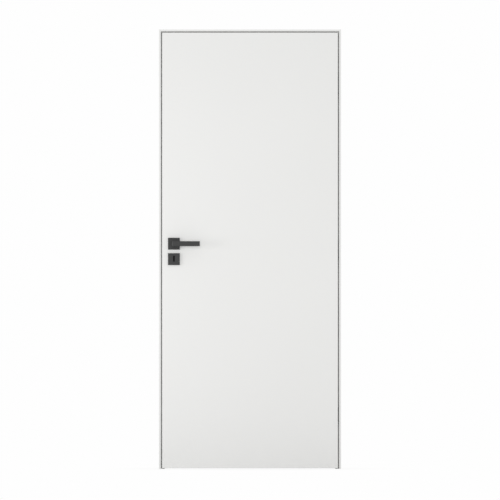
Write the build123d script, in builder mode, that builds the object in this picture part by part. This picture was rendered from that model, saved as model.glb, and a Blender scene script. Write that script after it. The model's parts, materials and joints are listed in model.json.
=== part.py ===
# Flush door leaf in a concealed aluminium frame, closed and at rest.
# X runs to the right as seen from the front, Y runs away from the viewer, Z runs up.
# The origin is on the wall face of the hinge jamb, half way through its depth, at floor level.
import os

from build123d import *

os.makedirs("parts", exist_ok=True)

# Leaf
leaf_width = 819.0
leaf_height = 2030.0
leaf_thick = 40.0
leaf_edge = 0.8
skin_thick = 3.0
lock_stile_width = 110.0
hinge_stile_width = 60.0
rail_height = 60.0

# Frame
strip = 9.0
strip_edge = 0.8
side_gap = 5.8
head_gap = 5.0
floor_gap = 4.0
frame_depth = 70.0
stop_lap = 12.0
stop_clear = 4.0
chamber_wall = 2.5
plaster_key_width = 4.0
plaster_key_depth = 1.0
plaster_key_pitch = 8.0
plaster_key_count = 2

# Seal in the stop
groove_width = 5.0
groove_depth = 4.0
groove_inset = 3.5
bulb_radius = 2.6
bulb_bore = 1.3
seal_clear = 0.3

# Hinges
hinge_height = 110.0
hinge_inset = 250.0
hinge_lip = 1.5
knuckle_radius = 3.0
knuckle_clear = 0.3
knuckle_height = 66.0
pin_radius = 1.75
pin_clear = 0.05
bracket_depth = 22.5
bracket_back = 1.2
bracket_corner = 1.5
arm_thick = 4.5
arm_reach = 14.0
arm_sweep_clear = 0.8
hinge_plate_width = 24.0
hinge_plate_thick = 3.0
hinge_plate_corner = 5.0

# Lock
lever_height = 1050.0
lock_centres = 72.0
backset = 55.0
case_depth = 82.0
case_thick = 15.0
case_above = 52.0
case_below = 46.0
forend_width = 20.0
forend_height = 235.0
forend_thick = 3.0
latch_width = 11.0
latch_height = 30.0
bolt_width = 9.0
bolt_height = 28.0
bolt_length = 26.0
bolt_clear = 0.3
bolt_edge = 0.8
strike_width = 20.0
strike_height = 190.0
strike_thick = 2.0
strike_play = 1.5
keyhole_radius = 4.4
keyhole_slot = 7.2
keyhole_top = 16.5
keyhole_bottom = 11.5
curtain_thick = 1.0

# Handle
rose_size = 55.0
rose_thick = 9.0
rose_edge = 0.8
collar_radius = 11.0
collar_clear = 0.05
collar_inset = 1.0
neck_clear = 0.8
neck_width = 18.0
lever_drop = 23.3
lever_heel = 9.0
lever_length = 121.0
lever_out = 58.0
grip_thick = 10.0
grip_edge = 0.3
heel_chamfer = 4.7
palm_radius = 6.0
spindle_side = 8.0
spindle_seat = 32.0
spindle_bore = 7.0

# Wall fixings
fixing_radius = 3.25
fixing_head = 6.0
fixing_low = 130.0
fixing_mid = 640.0
fixing_pitch = 250.0

# Places that follow from the sizes
frame_width = leaf_width + 2 * (strip + side_gap)
frame_height = floor_gap + leaf_height + head_gap + strip
front_y = -frame_depth / 2
leaf_back_y = front_y + leaf_thick
leaf_mid_y = front_y + leaf_thick / 2
core_thick = leaf_thick - 2 * skin_thick
stop_depth = leaf_thick + stop_clear
stop_width = strip + side_gap + stop_lap
seal_middle = stop_width - groove_inset - groove_width / 2
lock_face_x = -frame_width
hinge_edge_x = -(strip + side_gap)
lock_edge_x = hinge_edge_x - leaf_width
leaf_top_z = floor_gap + leaf_height
key_height = lever_height - lock_centres
lock_middle_z = (lever_height + key_height) / 2
spindle_x = lock_edge_x + backset
strike_x = lock_face_x + strip

pin_x = -(bracket_back + knuckle_clear + knuckle_radius)
pin_y = front_y + hinge_lip + knuckle_clear + knuckle_radius
bracket_y = front_y + hinge_lip
arm_y = pin_y + arm_reach
cavity_y = arm_y + arm_thick / 2 + arm_sweep_clear
hinge_heights = {
    "lower": floor_gap + hinge_inset,
    "middle": floor_gap + leaf_height / 2,
    "upper": leaf_top_z - hinge_inset,
}
bolts = {
    "latch_bolt": (lever_height, latch_width, latch_height),
    "dead_bolt": (key_height, bolt_width, bolt_height),
}
fixing_heights = [fixing_low, fixing_mid, frame_height - fixing_mid, frame_height - fixing_low]
head_fixings = [-frame_width / 2 - fixing_pitch, -frame_width / 2 + fixing_pitch]


def save(piece, name):
    piece.label = name
    export_step(piece, f"parts/{name}.step")


def upright(y):
    # A plane seen from the front, x to the right and z up, that grows towards the viewer.
    return Plane(origin=(0, y, 0), x_dir=(1, 0, 0), z_dir=(0, -1, 0))


def edgewise(x):
    # A plane seen from the hinge side, along the door, that grows towards the hinges.
    return Plane(origin=(x, 0, 0), x_dir=(0, 1, 0), z_dir=(1, 0, 0))


# The frame's sections are drawn in from the wall face by u and back from the front edge by v.
def on_hinge_side(u, v):
    return (-u, front_y + v)


def on_lock_side(u, v):
    return (lock_face_x + u, front_y + v)


def on_head(u, v):
    return (front_y + v, frame_height - u)


def profile(point, outline, mode=Mode.ADD):
    Polygon([point(u, v) for u, v in outline], align=None, mode=mode)


def square(point, u0, u1, v0, v1, mode=Mode.ADD):
    profile(point, [(u0, v0), (u1, v0), (u1, v1), (u0, v1)], mode)


def lining_section(point):
    # A flat lining with an eased front edge, a hollow cell at the back and keys for the plaster.
    eased = [(strip - strip_edge, 0), (strip, strip_edge)]
    profile(point, [(0, 0)] + eased + [(strip, frame_depth), (0, frame_depth)])
    square(point, chamber_wall, strip - chamber_wall, stop_depth + chamber_wall,
           frame_depth - chamber_wall, Mode.SUBTRACT)
    for number in range(plaster_key_count):
        key_v = frame_depth - (number + 1) * plaster_key_pitch
        square(point, 0, plaster_key_depth, key_v - plaster_key_width / 2,
               key_v + plaster_key_width / 2, Mode.SUBTRACT)


def stop_section(point):
    # A hollow stop on the lining behind the leaf, with a groove for the seal in its front.
    square(point, strip, stop_width, stop_depth, frame_depth)
    square(point, seal_middle - groove_width / 2, seal_middle + groove_width / 2,
           stop_depth, stop_depth + groove_depth, Mode.SUBTRACT)
    square(point, strip + chamber_wall, stop_width - chamber_wall,
           stop_depth + groove_depth + chamber_wall, frame_depth - chamber_wall, Mode.SUBTRACT)


def seal_section(point):
    # The seal's foot fills the groove and its hollow bulb stands in front of the stop.
    square(point, seal_middle - groove_width / 2, seal_middle + groove_width / 2,
           stop_depth, stop_depth + groove_depth)
    with Locations(point(seal_middle, leaf_thick + seal_clear + bulb_radius)):
        Circle(bulb_radius)
        Circle(bulb_bore, mode=Mode.SUBTRACT)


def panel(x0, x1, z0, z1, mode=Mode.ADD):
    # A rectangle between two corners.
    with Locations(((x0 + x1) / 2, (z0 + z1) / 2)):
        Rectangle(x1 - x0, z1 - z0, mode=mode)


def keyhole(mode=Mode.ADD):
    # Round top with a straight slot below it.
    round_z = key_height + keyhole_top - keyhole_radius
    with Locations((spindle_x, round_z)):
        Circle(keyhole_radius, mode=mode)
    panel(spindle_x - keyhole_slot / 2, spindle_x + keyhole_slot / 2,
          key_height - keyhole_bottom, round_z, mode)


def key_passage(mode=Mode.ADD):
    # A square hole that the key passes through behind the escutcheons.
    panel(spindle_x - keyhole_radius, spindle_x + keyhole_radius,
          key_height - keyhole_bottom, key_height + keyhole_top, mode)


def handle_passages():
    # Holes through the leaf for the handle's collar and for the key.
    with Locations((spindle_x, lever_height)):
        Circle(collar_radius, mode=Mode.SUBTRACT)
    key_passage(Mode.SUBTRACT)


def bolt_windows(play, mode=Mode.ADD):
    # The outlines of both bolts on the edge of the leaf, with play all round.
    for height, wide, tall in bolts.values():
        with Locations((leaf_mid_y, height)):
            Rectangle(wide + 2 * play, tall + 2 * play, mode=mode)


def lock_plate(tall, wide):
    # A plate with round ends, half way between the lever and the key.
    with Locations((leaf_mid_y, lock_middle_z)):
        SlotOverall(tall, wide, rotation=90)


def lock_case():
    panel(leaf_mid_y - case_thick / 2, leaf_mid_y + case_thick / 2,
          key_height - case_below, lever_height + case_above)


def hinge_window(height):
    with Locations((bracket_y + bracket_depth / 2, height)):
        RectangleRounded(bracket_depth, hinge_height, bracket_corner)


def hinge_plate(height):
    with Locations((arm_y, height)):
        RectangleRounded(hinge_plate_width, hinge_height, hinge_plate_corner)


def at_pin(radius):
    with Locations((pin_x, pin_y)):
        Circle(radius)


def outer_edges(piece, out):
    # The rim of the face that looks away from the middle of the leaf.
    return piece.faces().sort_by(Axis.Y)[-1 if out > 0 else 0].outer_wire().edges()


# The mitre planes rise from the inside corner to the outside corner.
hinge_mitre = Plane(origin=(0, 0, frame_height), z_dir=(-1, 0, 1))
lock_mitre = Plane(origin=(lock_face_x, 0, frame_height), z_dir=(1, 0, 1))

# Hinge jamb with a window for each hinge and its wall fixings
with BuildPart() as hinge_jamb:
    with BuildSketch(Plane.XY):
        lining_section(on_hinge_side)
    extrude(amount=frame_height)
    split(bisect_by=hinge_mitre, keep=Keep.BOTTOM)
    with BuildSketch(edgewise(-strip)):
        for height in hinge_heights.values():
            hinge_window(height)
    extrude(amount=strip, mode=Mode.SUBTRACT)
    with Locations([Plane(origin=(-strip, 0, z), z_dir=(-1, 0, 0)) for z in fixing_heights]):
        CounterSinkHole(fixing_radius, fixing_head, depth=strip)
save(hinge_jamb.part, "hinge_jamb")

# Lock jamb with the strike plate's recess and the two bolt pockets
with BuildPart() as lock_jamb:
    with BuildSketch(Plane.XY):
        lining_section(on_lock_side)
    extrude(amount=frame_height)
    split(bisect_by=lock_mitre, keep=Keep.BOTTOM)
    with BuildSketch(edgewise(strike_x)):
        lock_plate(strike_height, strike_width)
    extrude(amount=-strike_thick, mode=Mode.SUBTRACT)
    with BuildSketch(edgewise(strike_x)):
        bolt_windows(strike_play)
    extrude(amount=-strip, mode=Mode.SUBTRACT)
    with Locations([Plane(origin=(strike_x, 0, z), z_dir=(1, 0, 0)) for z in fixing_heights]):
        CounterSinkHole(fixing_radius, fixing_head, depth=strip)
save(lock_jamb.part, "lock_jamb")

# Frame head between the two mitres
with BuildPart() as frame_head:
    with BuildSketch(Plane.YZ):
        lining_section(on_head)
    extrude(amount=-frame_width)
    split(bisect_by=hinge_mitre, keep=Keep.TOP)
    split(bisect_by=lock_mitre, keep=Keep.TOP)
    with Locations([Plane(origin=(x, 0, frame_height - strip), z_dir=(0, 0, -1)) for x in head_fixings]):
        CounterSinkHole(fixing_radius, fixing_head, depth=strip)
save(frame_head.part, "frame_head")

# Stops behind the leaf and the seals in them, mitred like the lining
for kind, section in [("stop", stop_section), ("seal", seal_section)]:
    for side, point, mitre in [("hinge", on_hinge_side, hinge_mitre), ("lock", on_lock_side, lock_mitre)]:
        with BuildPart() as upright_piece:
            with BuildSketch(Plane.XY):
                section(point)
            extrude(amount=frame_height)
            split(bisect_by=mitre, keep=Keep.BOTTOM)
        save(upright_piece.part, f"{side}_{kind}")

    with BuildPart() as head_piece:
        with BuildSketch(Plane.YZ):
            section(on_head)
        extrude(amount=-frame_width)
        split(bisect_by=hinge_mitre, keep=Keep.TOP)
        split(bisect_by=lock_mitre, keep=Keep.TOP)
    save(head_piece.part, f"head_{kind}")

# Strike plate, flush in the lock jamb
with BuildPart() as strike_plate:
    with BuildSketch(edgewise(strike_x)):
        lock_plate(strike_height, strike_width)
        bolt_windows(strike_play, Mode.SUBTRACT)
    extrude(amount=-strike_thick)
save(strike_plate.part, "strike_plate")

# Hinges: bracket and pin hidden in the jamb, bent arm fixed in the edge of the leaf
for place, height in hinge_heights.items():
    hinge_foot = Plane.XY.offset(height - hinge_height / 2)
    knuckle_foot = Plane.XY.offset(height - knuckle_height / 2)
    cavity_half = knuckle_height / 2 + knuckle_clear

    with BuildPart() as hinge_bracket:
        with BuildSketch(edgewise(-strip)):
            hinge_window(height)
        extrude(amount=strip)
        with BuildSketch(edgewise(-strip)):
            panel(bracket_y, cavity_y, height - cavity_half, height + cavity_half)
        extrude(amount=strip - bracket_back, mode=Mode.SUBTRACT)
        with BuildSketch(hinge_foot):
            at_pin(pin_radius)
        extrude(amount=hinge_height, mode=Mode.SUBTRACT)
    save(hinge_bracket.part, f"{place}_hinge_bracket")

    with BuildPart() as hinge_pin:
        with BuildSketch(hinge_foot):
            at_pin(pin_radius)
        extrude(amount=hinge_height)
    save(hinge_pin.part, f"{place}_hinge_pin")

    with BuildPart() as hinge_arm:
        with BuildSketch(knuckle_foot):
            with BuildLine():
                bend = Polyline((pin_x, pin_y), (pin_x, arm_y), (hinge_edge_x, arm_y))
                offset(bend, arm_thick / 2, side=Side.BOTH)
            make_face()
            at_pin(knuckle_radius)
        extrude(amount=knuckle_height)
        with BuildSketch(edgewise(hinge_edge_x)):
            hinge_plate(height)
        extrude(amount=-hinge_plate_thick)
        with BuildSketch(hinge_foot):
            at_pin(pin_radius + pin_clear)
        extrude(amount=hinge_height, mode=Mode.SUBTRACT)
    save(hinge_arm.part, f"{place}_hinge_arm")

# Leaf frame and core between the two skins
with BuildPart() as hinge_stile:
    with BuildSketch(upright(leaf_mid_y)):
        panel(hinge_edge_x - hinge_stile_width, hinge_edge_x, floor_gap, leaf_top_z)
    extrude(amount=core_thick / 2, both=True)
    with BuildSketch(edgewise(hinge_edge_x)):
        for height in hinge_heights.values():
            hinge_plate(height)
    extrude(amount=-hinge_plate_thick, mode=Mode.SUBTRACT)
save(hinge_stile.part, "hinge_stile")

with BuildPart() as lock_stile:
    with BuildSketch(upright(leaf_mid_y)):
        panel(lock_edge_x, lock_edge_x + lock_stile_width, floor_gap, leaf_top_z)
        handle_passages()
    extrude(amount=core_thick / 2, both=True)
    with BuildSketch(edgewise(lock_edge_x)):
        lock_case()
    extrude(amount=case_depth, mode=Mode.SUBTRACT)
    with BuildSketch(edgewise(lock_edge_x)):
        lock_plate(forend_height, forend_width)
    extrude(amount=forend_thick, mode=Mode.SUBTRACT)
save(lock_stile.part, "lock_stile")

core_x0 = lock_edge_x + lock_stile_width
core_x1 = hinge_edge_x - hinge_stile_width
core_z0 = floor_gap + rail_height
core_z1 = leaf_top_z - rail_height
spans = {
    "bottom_rail": (floor_gap, core_z0),
    "leaf_core": (core_z0, core_z1),
    "top_rail": (core_z1, leaf_top_z),
}
for name, (z0, z1) in spans.items():
    with BuildPart() as filling:
        with BuildSketch(upright(leaf_mid_y)):
            panel(core_x0, core_x1, z0, z1)
        extrude(amount=core_thick / 2, both=True)
    save(filling.part, name)

for name, face_y, out in [("front_skin", front_y, -1), ("back_skin", leaf_back_y, 1)]:
    with BuildPart() as skin:
        with BuildSketch(upright(face_y)):
            panel(lock_edge_x, hinge_edge_x, floor_gap, leaf_top_z)
            handle_passages()
        extrude(amount=out * skin_thick)
        chamfer(outer_edges(skin, out), leaf_edge)
    save(skin.part, name)

# Mortise lock: case and forend in one, with a curtain half way that nobody can see past;
# its bolts are drawn back flush with the forend
with BuildPart() as mortise_lock:
    with BuildSketch(edgewise(lock_edge_x)):
        lock_case()
    extrude(amount=case_depth)
    with BuildSketch(edgewise(lock_edge_x)):
        lock_plate(forend_height, forend_width)
    extrude(amount=forend_thick)
    with BuildSketch(edgewise(lock_edge_x)):
        bolt_windows(bolt_clear)
    extrude(amount=bolt_length, mode=Mode.SUBTRACT)
    with BuildSketch(upright(leaf_mid_y)):
        with Locations((spindle_x, lever_height)):
            Circle(spindle_bore)
        keyhole()
    extrude(amount=case_thick / 2, both=True, mode=Mode.SUBTRACT)
    with BuildSketch(upright(leaf_mid_y)):
        key_passage()
    extrude(amount=curtain_thick / 2, both=True)
save(mortise_lock.part, "mortise_lock")

for name, (height, wide, tall) in bolts.items():
    with BuildPart() as bolt:
        with BuildSketch(edgewise(lock_edge_x)):
            with Locations((leaf_mid_y, height)):
                Rectangle(wide, tall)
        extrude(amount=bolt_length)
        chamfer(bolt.faces().sort_by(Axis.X)[0].edges(), bolt_edge)
    save(bolt.part, name)

# Roses, key escutcheons and levers on both faces; out points away from the leaf
heel_x = spindle_x - lever_heel
palm_x = heel_x + neck_width
tip_x = spindle_x + lever_length
for side, face_y, out in [("front", front_y, -1), ("back", leaf_back_y, 1)]:
    with BuildPart() as rose:
        with BuildSketch(upright(face_y)):
            with Locations((spindle_x, lever_height)):
                Rectangle(rose_size, rose_size)
                Circle(collar_radius + collar_clear, mode=Mode.SUBTRACT)
        extrude(amount=-out * rose_thick)
        chamfer(outer_edges(rose, out), rose_edge)
    save(rose.part, f"{side}_rose")

    with BuildPart() as escutcheon:
        with BuildSketch(upright(face_y)):
            with Locations((spindle_x, key_height)):
                Rectangle(rose_size, rose_size)
            keyhole(Mode.SUBTRACT)
        extrude(amount=-out * rose_thick)
        chamfer(outer_edges(escutcheon, out), rose_edge)
    save(escutcheon.part, f"{side}_escutcheon")

    neck_y = face_y + out * (rose_thick + neck_clear)
    grip_y = face_y + out * (lever_out - grip_thick)
    tip_y = face_y + out * lever_out
    with BuildPart() as lever:
        with BuildSketch(Plane.XY.offset(lever_height)) as plan:
            heel_side = [(heel_x, neck_y), (heel_x, tip_y), (tip_x, tip_y)]
            palm_side = [(tip_x, grip_y), (palm_x, grip_y), (palm_x, neck_y)]
            Polygon(heel_side + palm_side, align=None)
            chamfer(plan.vertices().sort_by_distance((heel_x, tip_y, 0))[0], heel_chamfer)
            fillet(plan.vertices().sort_by_distance((palm_x, grip_y, 0))[0], palm_radius)
        extrude(amount=lever_drop / 2, both=True)
        chamfer(lever.faces().filter_by(Axis.Z).edges(), grip_edge)
        with BuildSketch(upright(neck_y)):
            with Locations((spindle_x, lever_height)):
                Circle(collar_radius)
        extrude(amount=out * (rose_thick + neck_clear - collar_inset))
        with BuildSketch(upright(face_y)):
            with Locations((spindle_x, lever_height)):
                Rectangle(spindle_side, spindle_side)
        extrude(amount=-out * spindle_seat, mode=Mode.SUBTRACT)
    save(lever.part, f"{side}_lever")

with BuildPart() as spindle:
    with BuildSketch(upright(leaf_mid_y)):
        with Locations((spindle_x, lever_height)):
            Rectangle(spindle_side, spindle_side)
    extrude(amount=leaf_thick / 2 + spindle_seat, both=True)
save(spindle.part, "spindle")
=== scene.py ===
# %% [markdown]
# # A white flush door in a concealed frame
# The door is a plain lacquered leaf that closes level with a thin aluminium edge in the wall. The
# construction comes in as a fixed frame: leaf, linings, hinges, lock and handle are already the right
# size and in the right place. This lesson gives every surface its finish, adds the small screws that
# hold the fittings, and sets up the light and the camera.

# %% Load the construction
import json
import math

import bmesh
import bpy
from mathutils import Matrix, Vector


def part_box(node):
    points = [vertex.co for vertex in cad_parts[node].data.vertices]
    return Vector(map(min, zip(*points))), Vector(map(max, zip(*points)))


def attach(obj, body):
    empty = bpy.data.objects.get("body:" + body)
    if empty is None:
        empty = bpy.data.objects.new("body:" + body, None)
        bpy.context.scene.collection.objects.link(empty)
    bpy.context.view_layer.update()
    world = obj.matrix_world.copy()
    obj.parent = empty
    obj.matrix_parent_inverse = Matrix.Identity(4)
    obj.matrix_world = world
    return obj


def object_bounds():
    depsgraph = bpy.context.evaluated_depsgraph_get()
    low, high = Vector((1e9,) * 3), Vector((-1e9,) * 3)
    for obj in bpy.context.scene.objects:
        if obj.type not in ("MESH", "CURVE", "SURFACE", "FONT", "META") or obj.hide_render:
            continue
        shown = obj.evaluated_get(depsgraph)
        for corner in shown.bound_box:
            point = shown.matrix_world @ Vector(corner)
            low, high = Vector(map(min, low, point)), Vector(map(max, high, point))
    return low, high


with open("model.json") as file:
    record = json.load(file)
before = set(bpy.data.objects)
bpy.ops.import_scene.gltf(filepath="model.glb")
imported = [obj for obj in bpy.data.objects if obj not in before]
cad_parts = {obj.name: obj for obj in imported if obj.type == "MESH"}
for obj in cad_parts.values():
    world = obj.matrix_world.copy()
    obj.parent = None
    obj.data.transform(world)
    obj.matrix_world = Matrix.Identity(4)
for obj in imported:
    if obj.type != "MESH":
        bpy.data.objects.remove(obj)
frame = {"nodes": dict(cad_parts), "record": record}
cad_low, cad_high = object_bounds()
nodes = frame["nodes"]
mm = 0.001
print("pieces:", len(nodes), "box:", [round(v, 4) for v in cad_low], [round(v, 4) for v in cad_high])

# %% [markdown]
# ## Sums with sockets
# A finish is a small sum: a bit more gloss where a noise is high, a bit less where it is low. Wiring Math
# nodes by hand hides that sum, so a socket is wrapped in a class that knows plus, minus and times. An
# expression such as `0.4 + 0.1 * grain` then adds the Math nodes by itself, and `1 - grain` works because
# the reflected forms are there.


# %% A value that flows through the nodes of a finish
class Flow:
    def __init__(self, tree, socket):
        self.tree = tree
        self.socket = socket

    def math(self, operation, first, second):
        return add_node(self.tree, "ShaderNodeMath", {"operation": operation}, 0, {0: first, 1: second})

    def __add__(self, other):
        return self.math("ADD", self, other)

    def __radd__(self, other):
        return self.math("ADD", other, self)

    def __sub__(self, other):
        return self.math("SUBTRACT", self, other)

    def __rsub__(self, other):
        return self.math("SUBTRACT", other, self)

    def __mul__(self, other):
        return self.math("MULTIPLY", self, other)

    def __rmul__(self, other):
        return self.math("MULTIPLY", other, self)


def feed(tree, socket, value):
    # A flow is linked; a number or a colour is set on the socket itself.
    if isinstance(value, Flow):
        tree.links.new(value.socket, socket)
    else:
        socket.default_value = value


def add_node(tree, kind, settings, output, sockets):
    # Settings go in first, because a setting can change which sockets a node has.
    node = tree.nodes.new(kind)
    for name, value in settings.items():
        setattr(node, name, value)
    for name, value in sockets.items():
        feed(tree, node.inputs[name], value)
    return Flow(tree, node.outputs[output])


# %% [markdown]
# ## One finish, one material
# Each finish is a Principled shader with a few nodes in front of it. All patterns read Object coordinates.
# The pieces sit at the origin, so those are metres in the room and every pattern has a real scale.


# %% A finish and the nodes that feed it
class Finish:
    def __init__(self, name, **sockets):
        self.material = bpy.data.materials.new(name)
        self.material.use_nodes = True
        self.tree = self.material.node_tree
        self.shader = self.tree.nodes["Principled BSDF"]
        self.place = self.node("ShaderNodeTexCoord", {}, "Object", {})
        self.set(**sockets)

    def node(self, kind, settings, output, sockets):
        return add_node(self.tree, kind, settings, output, sockets)

    def along(self, axis):
        # How far a point lies along one axis, in metres.
        return self.node("ShaderNodeSeparateXYZ", {}, axis, {"Vector": self.place})

    def set(self, **sockets):
        for name, value in sockets.items():
            feed(self.tree, self.shader.inputs[name.replace("_", " ")], value)

    def noise(self, scale, detail=2.0, stretch=(1, 1, 1)):
        # Noise whose grains are about 1/scale metres wide, drawn out along an axis where stretch is small.
        where = self.node("ShaderNodeMapping", {}, 0, {"Vector": self.place, "Scale": stretch})
        return self.node("ShaderNodeTexNoise", {}, 0, {"Vector": where, "Scale": scale, "Detail": detail})

    def blend(self, factor, first, second):
        # Colours go through a Mix node, because a Math node would turn them grey. Among its sockets, the
        # colours are 6 and 7, and the mixed colour is 2.
        return self.node("ShaderNodeMix", {"data_type": "RGBA"}, 2, {0: factor, 6: first, 7: second})

    def relief(self, height, depth):
        # Fine relief that is too small for geometry; depth is in metres.
        return self.node("ShaderNodeBump", {}, 0, {"Height": height, "Strength": 1.0, "Distance": depth})

    def coat(self, *names):
        for name in names:
            piece = nodes[name] if name in nodes else bpy.data.objects[name]
            piece.data.materials.clear()
            piece.data.materials.append(self.material)
        print(self.material.name, "on", len(names), "pieces")


def grey(level, warm=0.0):
    # A colour from one level, a little less blue where it is warm.
    return (level, level, level * (1 - warm), 1.0)


# %% [markdown]
# ## Lacquer on the leaf
# A flush leaf is a pressed board sprayed with white satin lacquer. Close up the spray leaves a soft orange
# peel a few millimetres across with a finer mist in it, and the gloss drifts a little over the height of
# the door. The colour is a warm white, so blue is a touch lower than red and green. Three noises make the
# drift, the peel and the mist; a flat colour would look like card.

# %% Satin lacquer
white_level = 0.84
white_warm = 0.016
lacquer_drift = 0.006
peel_depth = 0.06 * mm


def lacquer(finish):
    drift = finish.noise(1.7)
    peel = finish.noise(330)
    mist = finish.noise(1900)
    colour = finish.blend(drift, grey(white_level - lacquer_drift, white_warm),
                          grey(white_level + lacquer_drift, white_warm))
    finish.set(Base_Color=colour, Roughness=0.40 + 0.08 * drift + 0.04 * (mist - 0.5))
    finish.set(Normal=finish.relief(peel + 0.25 * mist, peel_depth))
    return colour


leaf_lacquer = Finish("leaf_lacquer")
lacquer(leaf_lacquer)
leaf_lacquer.coat("front_skin", "back_skin")

# %% [markdown]
# ## Edges of the leaf
# Stiles and rails are pine. Their outer edges are lacquered with the faces, but the sawn wood stays bare
# inside, where the lock and the key pass through it. One mask tells both apart: a point is inside when it
# lies more than a millimetre from the edge, across as well as up.

# %% Lacquered edge, bare pine inside
leaf_low, leaf_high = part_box("front_skin")
leaf_middle = (leaf_low + leaf_high) / 2
lacquer_depth = 1 * mm
dark_pine = (0.30, 0.19, 0.09, 1)
pale_pine = (0.44, 0.30, 0.16, 1)
edge_lacquer = Finish("edge_lacquer")
inside = 1
for axis, middle, edge in (("X", leaf_middle.x, leaf_high.x), ("Z", leaf_middle.z, leaf_high.z)):
    offset = edge_lacquer.along(axis) - middle
    distance = offset.math("ABSOLUTE", offset, 0)
    inside = inside * distance.math("LESS_THAN", distance, edge - middle - lacquer_depth)
grain = edge_lacquer.noise(260, detail=4.0, stretch=(1, 1, 0.03))
pine = edge_lacquer.blend(grain, dark_pine, pale_pine)
edge_lacquer.set(Base_Color=edge_lacquer.blend(inside, lacquer(edge_lacquer), pine))
edge_lacquer.coat("lock_stile", "hinge_stile", "top_rail", "bottom_rail")

# %% [markdown]
# ## Powder coat on the frame
# The linings and stops are aluminium sections with a white powder coat. Baked powder is finer and duller
# than lacquer: a tight pebble of less than a millimetre. It is the same white, so that frame and leaf read
# as one surface.

# %% Powder coat
powder_drift = 0.01
pebble_depth = 0.05 * mm
powder_coat = Finish("powder_coat")
pebble = powder_coat.noise(1300, detail=3.0)
cloud = powder_coat.noise(4.0)
powder_coat.set(Base_Color=powder_coat.blend(cloud, grey(white_level - powder_drift, white_warm),
                                             grey(white_level + powder_drift, white_warm)))
powder_coat.set(Roughness=0.5 + 0.1 * pebble, Normal=powder_coat.relief(pebble, pebble_depth))
powder_coat.coat("lock_jamb", "hinge_jamb", "frame_head", "lock_stop", "hinge_stop", "head_stop")

# %% [markdown]
# ## Rubber in the stop
# A hollow pale grey seal runs round the stop. Soft rubber scatters light and shows a dusty bloom, so it is
# rough all over and a little patchy.

# %% Seal rubber
bare_rubber = grey(0.60)
dusty_rubber = grey(0.68)
rubber_depth = 0.08 * mm
seal_rubber = Finish("seal_rubber")
bloom = seal_rubber.noise(60, detail=4.0)
seal_rubber.set(Base_Color=seal_rubber.blend(bloom, bare_rubber, dusty_rubber))
seal_rubber.set(Roughness=0.72 + 0.15 * bloom)
seal_rubber.set(Normal=seal_rubber.relief(seal_rubber.noise(900), rubber_depth))
seal_rubber.coat("lock_seal", "hinge_seal", "head_seal")

# %% [markdown]
# ## Anthracite on the handle
# Lever, roses and escutcheons are zinc castings with one even coat of matt anthracite. The coat has a fine
# sparkle of lighter grains. It is a paint, so it isn't metallic; the soft sheen along the edges comes from
# the studio light.

# %% Matt anthracite
anthracite_ground = grey(0.029)
anthracite_grain = grey(0.046)
sparkle_depth = 0.03 * mm
anthracite = Finish("anthracite", Specular_IOR_Level=0.3)
sparkle = anthracite.noise(5200, detail=1.0)
patch = anthracite.noise(90)
anthracite.set(Base_Color=anthracite.blend(sparkle, anthracite_ground, anthracite_grain))
anthracite.set(Roughness=0.52 + 0.12 * patch, Normal=anthracite.relief(sparkle, sparkle_depth))
for kind in ("lever", "rose", "escutcheon"):
    anthracite.coat(f"front_{kind}", f"back_{kind}")

# %% [markdown]
# ## Steel in the edges
# The strike plate and the dead bolt are satin steel, and the hinges are burnished dark so that they don't
# show in the gap. Brushing leaves fine lines in one direction, here upright, so the noise is drawn out
# along Z by a small stretch. The same lines change the gloss and the relief. The pins and the square
# spindle are plain turned or drawn bars, and their lines are finer. A metal only mirrors its surroundings,
# and these are white, so the steel has a middle grey as its colour; a lighter one would vanish against the
# white frame.

# %% Brushed steel
steel_level = 0.38
steel_gloss = 0.26
steel_lines = 2400
line_depth = 0.02 * mm


def brush_marks(finish, level, across):
    # The upright lines of the brush, and a colour with faint stains; across is about how many lines
    # fit in a metre.
    lines = finish.noise(across, detail=3.0, stretch=(1, 1, 0.02))
    stain = finish.noise(35)
    return lines, finish.blend(stain, grey(level * 0.93, 0.02), grey(level, 0.02))


def brushed(name, level, gloss, across):
    finish = Finish(name, Metallic=1.0)
    lines, colour = brush_marks(finish, level, across)
    finish.set(Base_Color=colour, Roughness=gloss + 0.14 * lines, Normal=finish.relief(lines, line_depth))
    return finish


hinge_places = ("lower", "middle", "upper")
plate_steel = brushed("plate_steel", steel_level, steel_gloss, steel_lines)
plate_steel.coat("strike_plate", "dead_bolt")
hinge_steel = brushed("hinge_steel", level=0.13, gloss=0.42, across=1800)
pin_steel = brushed("pin_steel", level=0.42, gloss=0.20, across=4000)
for place in hinge_places:
    hinge_steel.coat(f"{place}_hinge_bracket", f"{place}_hinge_arm")
    pin_steel.coat(f"{place}_hinge_pin")
pin_steel.coat("spindle")

# %% [markdown]
# ## The lock
# Only the forend of the lock is brushed steel. The case behind it is dipped in matt black paint, and that
# is what a look through the keyhole meets. Forend and case are one piece here, so a mask on the X
# coordinate tells them apart: 1 behind the forend, 0 on it. Colour, gloss and metal all follow that mask.

# %% Forend and black case
forend_thickness = 3.0 * mm
paint_margin = 0.2 * mm
lock_low, lock_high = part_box("mortise_lock")
lock_finish = Finish("forend_and_case", Specular_IOR_Level=0.1)
across = lock_finish.along("X")
behind = across.math("GREATER_THAN", across, lock_low.x + forend_thickness + paint_margin)
lines, bright = brush_marks(lock_finish, steel_level, steel_lines)
black = lock_finish.blend(lock_finish.noise(700), grey(0.012), grey(0.022))
lock_finish.set(Base_Color=lock_finish.blend(behind, bright, black), Metallic=1 - behind)
lock_finish.set(Roughness=steel_gloss + 0.14 * lines + 0.4 * behind)
lock_finish.set(Normal=lock_finish.relief(lines, line_depth))
lock_finish.coat("mortise_lock")

# %% [markdown]
# ## Latch and core
# The latch is a moulded nylon block, matt black with a fine eroded skin. The core of the leaf is a
# chipboard that nothing shows, but it gets its flakes too, for whoever takes a skin off.

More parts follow.
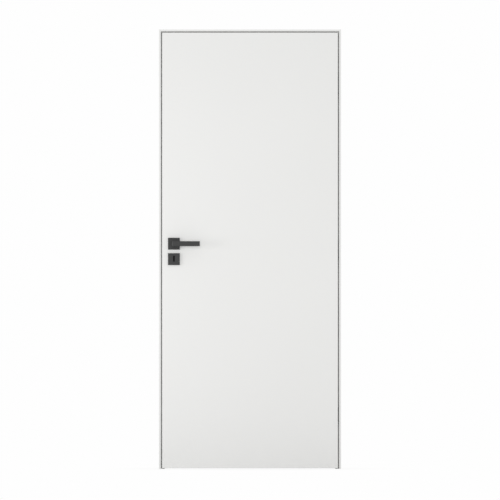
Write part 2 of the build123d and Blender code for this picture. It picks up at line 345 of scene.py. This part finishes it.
# %% Moulded nylon and chipboard
skin_depth = 0.03 * mm
nylon = Finish("moulded_nylon")
skin = nylon.noise(2600)
nylon.set(Base_Color=nylon.blend(skin, grey(0.035), grey(0.05)), Roughness=0.5 + 0.15 * skin)
nylon.set(Normal=nylon.relief(skin, skin_depth))
nylon.coat("latch_bolt")

dark_flake = (0.42, 0.29, 0.16, 1)
pale_flake = (0.62, 0.47, 0.29, 1)
flake_depth = 0.4 * mm
chipboard = Finish("chipboard", Roughness=0.85)
flakes = chipboard.node("ShaderNodeTexVoronoi", {}, "Distance", {"Vector": chipboard.place, "Scale": 420.0})
chipboard.set(Base_Color=chipboard.blend(flakes, dark_flake, pale_flake))
chipboard.set(Normal=chipboard.relief(flakes, flake_depth))
chipboard.coat("leaf_core")

# %% [markdown]
# ## Screws
# Countersunk screws hold the forend, the strike, the hinges and the linings. A screw head is a turned disc
# with a low crown and a cross punched into it. It could be a cylinder with a bump, but the cross catches
# the light, so it is cut in the mesh: the rim is drawn down into a cone and up into a low crown, straight
# cuts mark a plus on the crown, and the plus is pressed in.


# %% A countersunk head with a cross
def press_cross(bm, arm, width, depth):
    # Straight cuts mark the arms of the cross on the flat crown, and the marked faces are pushed in.
    for axis in (Vector((1, 0, 0)), Vector((0, 1, 0))):
        for offset in (-arm, -width / 2, width / 2, arm):
            bmesh.ops.bisect_plane(bm, geom=bm.verts[:] + bm.edges[:] + bm.faces[:],
                                   plane_co=axis * offset, plane_no=axis)
    top = max(vert.co.z for vert in bm.verts)

    def in_cross(face):
        middle = face.calc_center_median()
        narrow, wide = sorted((abs(middle.x), abs(middle.y)))
        return middle.z > top - 1e-6 and face.normal.z > 0.9 and narrow < width / 2 and wide < arm

    bm.normal_update()
    pressed = [face for face in bm.faces if in_cross(face)]
    made = bmesh.ops.extrude_face_region(bm, geom=pressed)["geom"]
    bmesh.ops.delete(bm, geom=pressed, context="FACES")
    lowered = [item for item in made if isinstance(item, bmesh.types.BMVert)]
    bmesh.ops.translate(bm, verts=lowered, vec=(0, 0, -depth))


def draw_ring(bm, edges, shrink, rise):
    # Draws a ring of edges out to a narrower ring at another height, and closes that one with a face.
    drawn = bmesh.ops.extrude_edge_only(bm, edges=edges)["geom"]
    ring = [item for item in drawn if isinstance(item, bmesh.types.BMVert)]
    bmesh.ops.scale(bm, vec=(shrink, shrink, 1), verts=ring)
    bmesh.ops.translate(bm, verts=ring, vec=(0, 0, rise))
    bmesh.ops.contextual_create(bm, geom=ring)


def screw_head(radius, sunk):
    # The rim lies at z = 0 and the head points up along z; sunk is how far the cone goes down.
    bm = bmesh.new()
    rim = bmesh.ops.create_circle(bm, cap_ends=False, radius=radius, segments=32)["verts"]
    edges = list({edge for vert in rim for edge in vert.link_edges})
    draw_ring(bm, edges, shrink=0.5, rise=-sunk)
    draw_ring(bm, edges, shrink=0.86, rise=0.05 * radius)
    bmesh.ops.recalc_face_normals(bm, faces=bm.faces[:])
    press_cross(bm, arm=0.52 * radius, width=0.2 * radius, depth=0.16 * radius)
    bmesh.ops.recalc_face_normals(bm, faces=bm.faces[:])
    return bm


# %% [markdown]
# ## One mesh for each set of screws
# A head is made once and copied to each of its places, so a whole set is a single mesh. A fitter never
# stops two screws at the same angle, so each one is twisted a little further than the last.

# %% Setting the screws
first_twist = 17
next_twist = 31


def set_screws(name, body, finish, head, places):
    # places holds pairs: where the rim lies and which way the head looks.
    pattern = bpy.data.meshes.new(name + "_pattern")
    head.to_mesh(pattern)
    head.free()
    bm = bmesh.new()
    for number, (where, look) in enumerate(places):
        start = len(bm.verts)
        bm.from_mesh(pattern)
        bm.verts.ensure_lookup_table()
        turn = Vector(look).to_track_quat("Z", "Y").to_matrix().to_4x4()
        twist = Matrix.Rotation(math.radians(first_twist + next_twist * number), 4, "Z")
        bmesh.ops.transform(bm, matrix=Matrix.Translation(where) @ turn @ twist, verts=bm.verts[start:])
    mesh = bpy.data.meshes.new(name)
    bm.to_mesh(mesh)
    bm.free()
    bpy.data.meshes.remove(pattern)
    piece = bpy.data.objects.new(name, mesh)
    bpy.context.collection.objects.link(piece)
    finish.coat(name)
    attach(piece, body)
    print(name, len(places), "screws,", len(mesh.polygons), "faces")


screw_steel = brushed("screw_steel", level=0.52, gloss=0.24, across=5000)

# %% [markdown]
# ## Where the screws sit
# Every place comes from the construction: the ends of the forend and of the strike, the ends of each hinge
# plate, and the wall fixings that the record states. The heads stand less than a quarter of a millimetre
# proud, and the wall screws lie in the countersinks of the lining.

# %% Screws of the lock
plate_inset = 13 * mm
head_radius = 3.6 * mm
head_sunk = 1.8 * mm
strike_sunk = 1.6 * mm
strike_low, strike_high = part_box("strike_plate")
edge_y = (lock_low.y + lock_high.y) / 2
forend_places = [(Vector((lock_low.x, edge_y, z)), (-1, 0, 0))
                 for z in (lock_low.z + plate_inset, lock_high.z - plate_inset)]
strike_places = [(Vector((strike_high.x, edge_y, z)), (1, 0, 0))
                 for z in (strike_low.z + plate_inset, strike_high.z - plate_inset)]
set_screws("forend_screws", "leaf", screw_steel,
           screw_head(head_radius, head_sunk), forend_places)
set_screws("strike_screws", "frame", screw_steel,
           screw_head(head_radius, strike_sunk), strike_places)

# %% Screws of the hinges
hinge_inset = 11 * mm
plate_half = 12 * mm
leaf_edge_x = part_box("hinge_stile")[1].x
arm_places = []
bracket_places = []
for place in hinge_places:
    arm_low, arm_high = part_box(f"{place}_hinge_arm")
    bracket_low, bracket_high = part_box(f"{place}_hinge_bracket")
    plate_y = arm_high.y - plate_half
    bracket_y = (bracket_low.y + bracket_high.y) / 2
    for z in (arm_low.z + hinge_inset, arm_high.z - hinge_inset):
        arm_places.append((Vector((leaf_edge_x, plate_y, z)), (1, 0, 0)))
        bracket_places.append((Vector((bracket_low.x, bracket_y, z)), (-1, 0, 0)))
set_screws("hinge_plate_screws", "leaf", screw_steel,
           screw_head(head_radius, head_sunk), arm_places)
set_screws("hinge_bracket_screws", "frame", screw_steel,
           screw_head(head_radius, head_sunk), bracket_places)

# %% Screws of the linings
wall_head_radius = 5.6 * mm
wall_head_sunk = 2.6 * mm
below_face = 0.3 * mm
mounts = {mount["name"]: mount for mount in frame["record"]["mounts"]}
wall_places = []
for side, look in (("hinge", -1), ("lock", 1)):
    jamb_low, jamb_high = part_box(f"{side}_jamb")
    face_x = jamb_low.x if look < 0 else jamb_high.x
    for row in ("outer", "inner"):
        mount = mounts[f"{side}_jamb_{row}_screws"]
        _, y, z = mount["pos_m"]
        half = mount["dims"]["spacing_y_mm"] * mm / 2
        for step in (-half, half):
            wall_places.append((Vector((face_x - look * below_face, y, z + step)), (look, 0, 0)))
head_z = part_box("frame_head")[0].z + below_face
x, y, _ = mounts["head_screws"]["pos_m"]
half = mounts["head_screws"]["dims"]["spacing_x_mm"] * mm / 2
for step in (-half, half):
    wall_places.append((Vector((x + step, y, head_z)), (0, 0, -1)))
set_screws("wall_screws", "frame", screw_steel,
           screw_head(wall_head_radius, wall_head_sunk), wall_places)

# %% [markdown]
# ## Set screws under the levers
# A lever is held on its square spindle by a headless screw that goes up into the neck from below. Only its
# end shows: a small ring with a six-sided socket. It could be a bump on the neck, but then it would have no
# socket, so it is made as the real one is: a turned stub whose end is inset and punched. The circle of the
# inset becomes a hexagon when each of its points slides along its ray to the nearest side.


# %% A headless screw with a six-sided socket
def headless_screw(radius, socket, proud, sunk):
    # The metal lies at z = 0 and the end looks up along z; socket is the reach to a corner of the hexagon.
    bm = bmesh.new()
    bmesh.ops.create_cone(bm, cap_ends=True, segments=24, radius1=radius, radius2=radius,
                          depth=proud + sunk)
    bmesh.ops.translate(bm, verts=bm.verts[:], vec=(0, 0, (proud - sunk) / 2))
    end = max(bm.faces, key=lambda face: face.calc_center_median().z)
    bmesh.ops.inset_region(bm, faces=[end], thickness=radius - socket, use_even_offset=True)
    sixth = math.pi / 3
    for vert in end.verts:
        from_side = math.atan2(vert.co.y, vert.co.x) % sixth - sixth / 2
        vert.co.xy *= math.cos(sixth / 2) / math.cos(from_side)
    punched = bmesh.ops.extrude_discrete_faces(bm, faces=[end])["faces"][0]
    bmesh.ops.translate(bm, verts=punched.verts[:], vec=(0, 0, -0.8 * (proud + sunk)))
    bmesh.ops.recalc_face_normals(bm, faces=bm.faces[:])
    return bm


# %% One under each neck
from_spindle_end = 14 * mm
spindle_low, spindle_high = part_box("spindle")
neck_x = (spindle_low.x + spindle_high.x) / 2
neck_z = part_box("front_lever")[0].z
neck_places = [(Vector((neck_x, y, neck_z)), (0, 0, -1))
               for y in (spindle_low.y + from_spindle_end, spindle_high.y - from_spindle_end)]
stub = headless_screw(radius=2.0 * mm, socket=1.15 * mm, proud=0.15 * mm, sunk=1.0 * mm)
set_screws("lever_set_screws", "lever", pin_steel, stub, neck_places)

# %% [markdown]
# ## Floor and background
# The door stands alone on white. The floor is a pale oval; for the camera and for reflections it is lifted
# towards white by Light Path, fully so away from the door, where its edge would show otherwise. Near the
# door it keeps the shadow. The light that it throws on the door stays plain. The world does the same: white
# to the eye, softer as a light.

# %% Pale floor
door_middle = (cad_low + cad_high) / 2
floor_wide = 0.80
floor_deep = 0.33
floor_mesh = bpy.data.meshes.new("floor")
bm = bmesh.new()
bmesh.ops.create_circle(bm, cap_ends=True, radius=1, segments=64)
bmesh.ops.scale(bm, verts=bm.verts[:], vec=(floor_wide, floor_deep, 1))
bmesh.ops.translate(bm, verts=bm.verts[:], vec=(door_middle.x, 0, 0))
bm.to_mesh(floor_mesh)
bm.free()
floor = bpy.data.objects.new("floor", floor_mesh)
bpy.context.collection.objects.link(floor)
pale = Finish("pale_floor", Base_Color=grey(0.5), Roughness=0.9)
pale.coat("floor")

# %% White to the eye
backdrop_white = 0.991
eye_rays = ("Is Camera Ray", "Is Glossy Ray", "Is Transmission Ray")


def eye_share(tree):
    # 1 for the rays that show the surroundings, 0 for those that only carry light.
    return sum(add_node(tree, "ShaderNodeLightPath", {}, name, {}) for name in eye_rays)


# From the middle of the floor, reach goes from 0 to 1 at its rim.
centre = pale.node("ShaderNodeMapping", {}, 0, {"Vector": pale.place,
                                                "Scale": (1 / floor_wide, 1 / floor_deep, 1),
                                                "Location": (-door_middle.x / floor_wide, 0, 0)})
reach = pale.node("ShaderNodeVectorMath", {"operation": "LENGTH"}, "Value", {0: centre})
fade = pale.node("ShaderNodeMapRange", {"interpolation_type": "SMOOTHSTEP"}, 0,
                 {"Value": reach, "From Min": 0.4, "From Max": 0.98, "To Min": 0.95, "To Max": 1.0})
glow = pale.node("ShaderNodeEmission", {}, 0, {"Strength": backdrop_white})
plain = Flow(pale.tree, pale.shader.outputs[0])
lift = pale.node("ShaderNodeMixShader", {}, 0, {0: fade * eye_share(pale.tree), 1: plain, 2: glow})
feed(pale.tree, pale.tree.nodes["Material Output"].inputs["Surface"], lift)
print("floor lifted to", backdrop_white)

# %% White world
ambient = 0.575
scene = bpy.context.scene
world = bpy.data.worlds.new("studio")
world.use_nodes = True
scene.world = world
sky = world.node_tree.nodes["Background"]
feed(world.node_tree, sky.inputs["Color"], grey(1.0))
brightness = ambient + (backdrop_white - ambient) * eye_share(world.node_tree)
feed(world.node_tree, sky.inputs["Strength"], brightness)
print("ambient", ambient)

# %% [markdown]
# ## Studio light
# A large soft box in front, nearly in line with the camera, gives most of the light. It shines straight
# into the gap round the leaf, which is why the gap is grey and not black. A small weak one on the left
# draws the handle's soft shadow out to the right. A still smaller one stands further round, almost in the
# plane of the leaf: it hardly touches the leaf, but it draws a bright line down the chamfer at the heel of
# the lever, which tells the lever from its rose. A last one stands behind the door, so that the back isn't
# left flat and grey.


# %% Soft boxes
def soft_box(name, where, target, size, power):
    light = bpy.data.lights.new(name, "AREA")
    light.shape = "SQUARE"
    light.size = size
    light.energy = power
    lamp = bpy.data.objects.new(name, light)
    lamp.location = where
    lamp.rotation_euler = (Vector(target) - Vector(where)).to_track_quat("-Z", "Y").to_euler()
    bpy.context.collection.objects.link(lamp)
    print(name, power, "W")


middle_x = door_middle.x
soft_box("front_light", where=(middle_x - 0.3, -9.0, 1.5), target=(middle_x, 0, 1.2), size=3.0, power=223)
soft_box("key_light", where=(middle_x - 2.4, -1.1, 1.0), target=(middle_x, 0, 0.8), size=0.8, power=11.2)
soft_box("edge_light", where=(middle_x - 2.6, -0.12, 1.05), target=(middle_x, -0.09, 1.05),
         size=0.3, power=10)
soft_box("back_light", where=(middle_x + 3.0, 6.0, 3.2), target=(middle_x, 0, 1.0), size=2.0, power=150)

# %% [markdown]
# ## Camera
# The picture is taken dead square from the front with a very long lens: no edge of the frame leans, and the
# lever hardly shifts against its rose. The camera stands thirty metres off, a few millimetres lower than
# the middle of the door, and the lens is worked out from the width that the picture takes in at the front
# of the leaf.

# %% A long lens square to the door
picture_width = 2.330
stand_off = 30.0
look_low = 3.4 * mm
camera = bpy.data.cameras.new("camera")
camera.sensor_width = 36.0
camera.lens = camera.sensor_width * stand_off / picture_width
camera.clip_end = 2 * stand_off
viewer = bpy.data.objects.new("camera", camera)
viewer.location = (middle_x, leaf_low.y - stand_off, cad_high.z / 2 - look_low)
viewer.rotation_euler = (math.radians(90), 0, 0)
bpy.context.collection.objects.link(viewer)
scene.camera = viewer
scene.view_settings.view_transform = "Standard"
print("lens", round(camera.lens, 1))
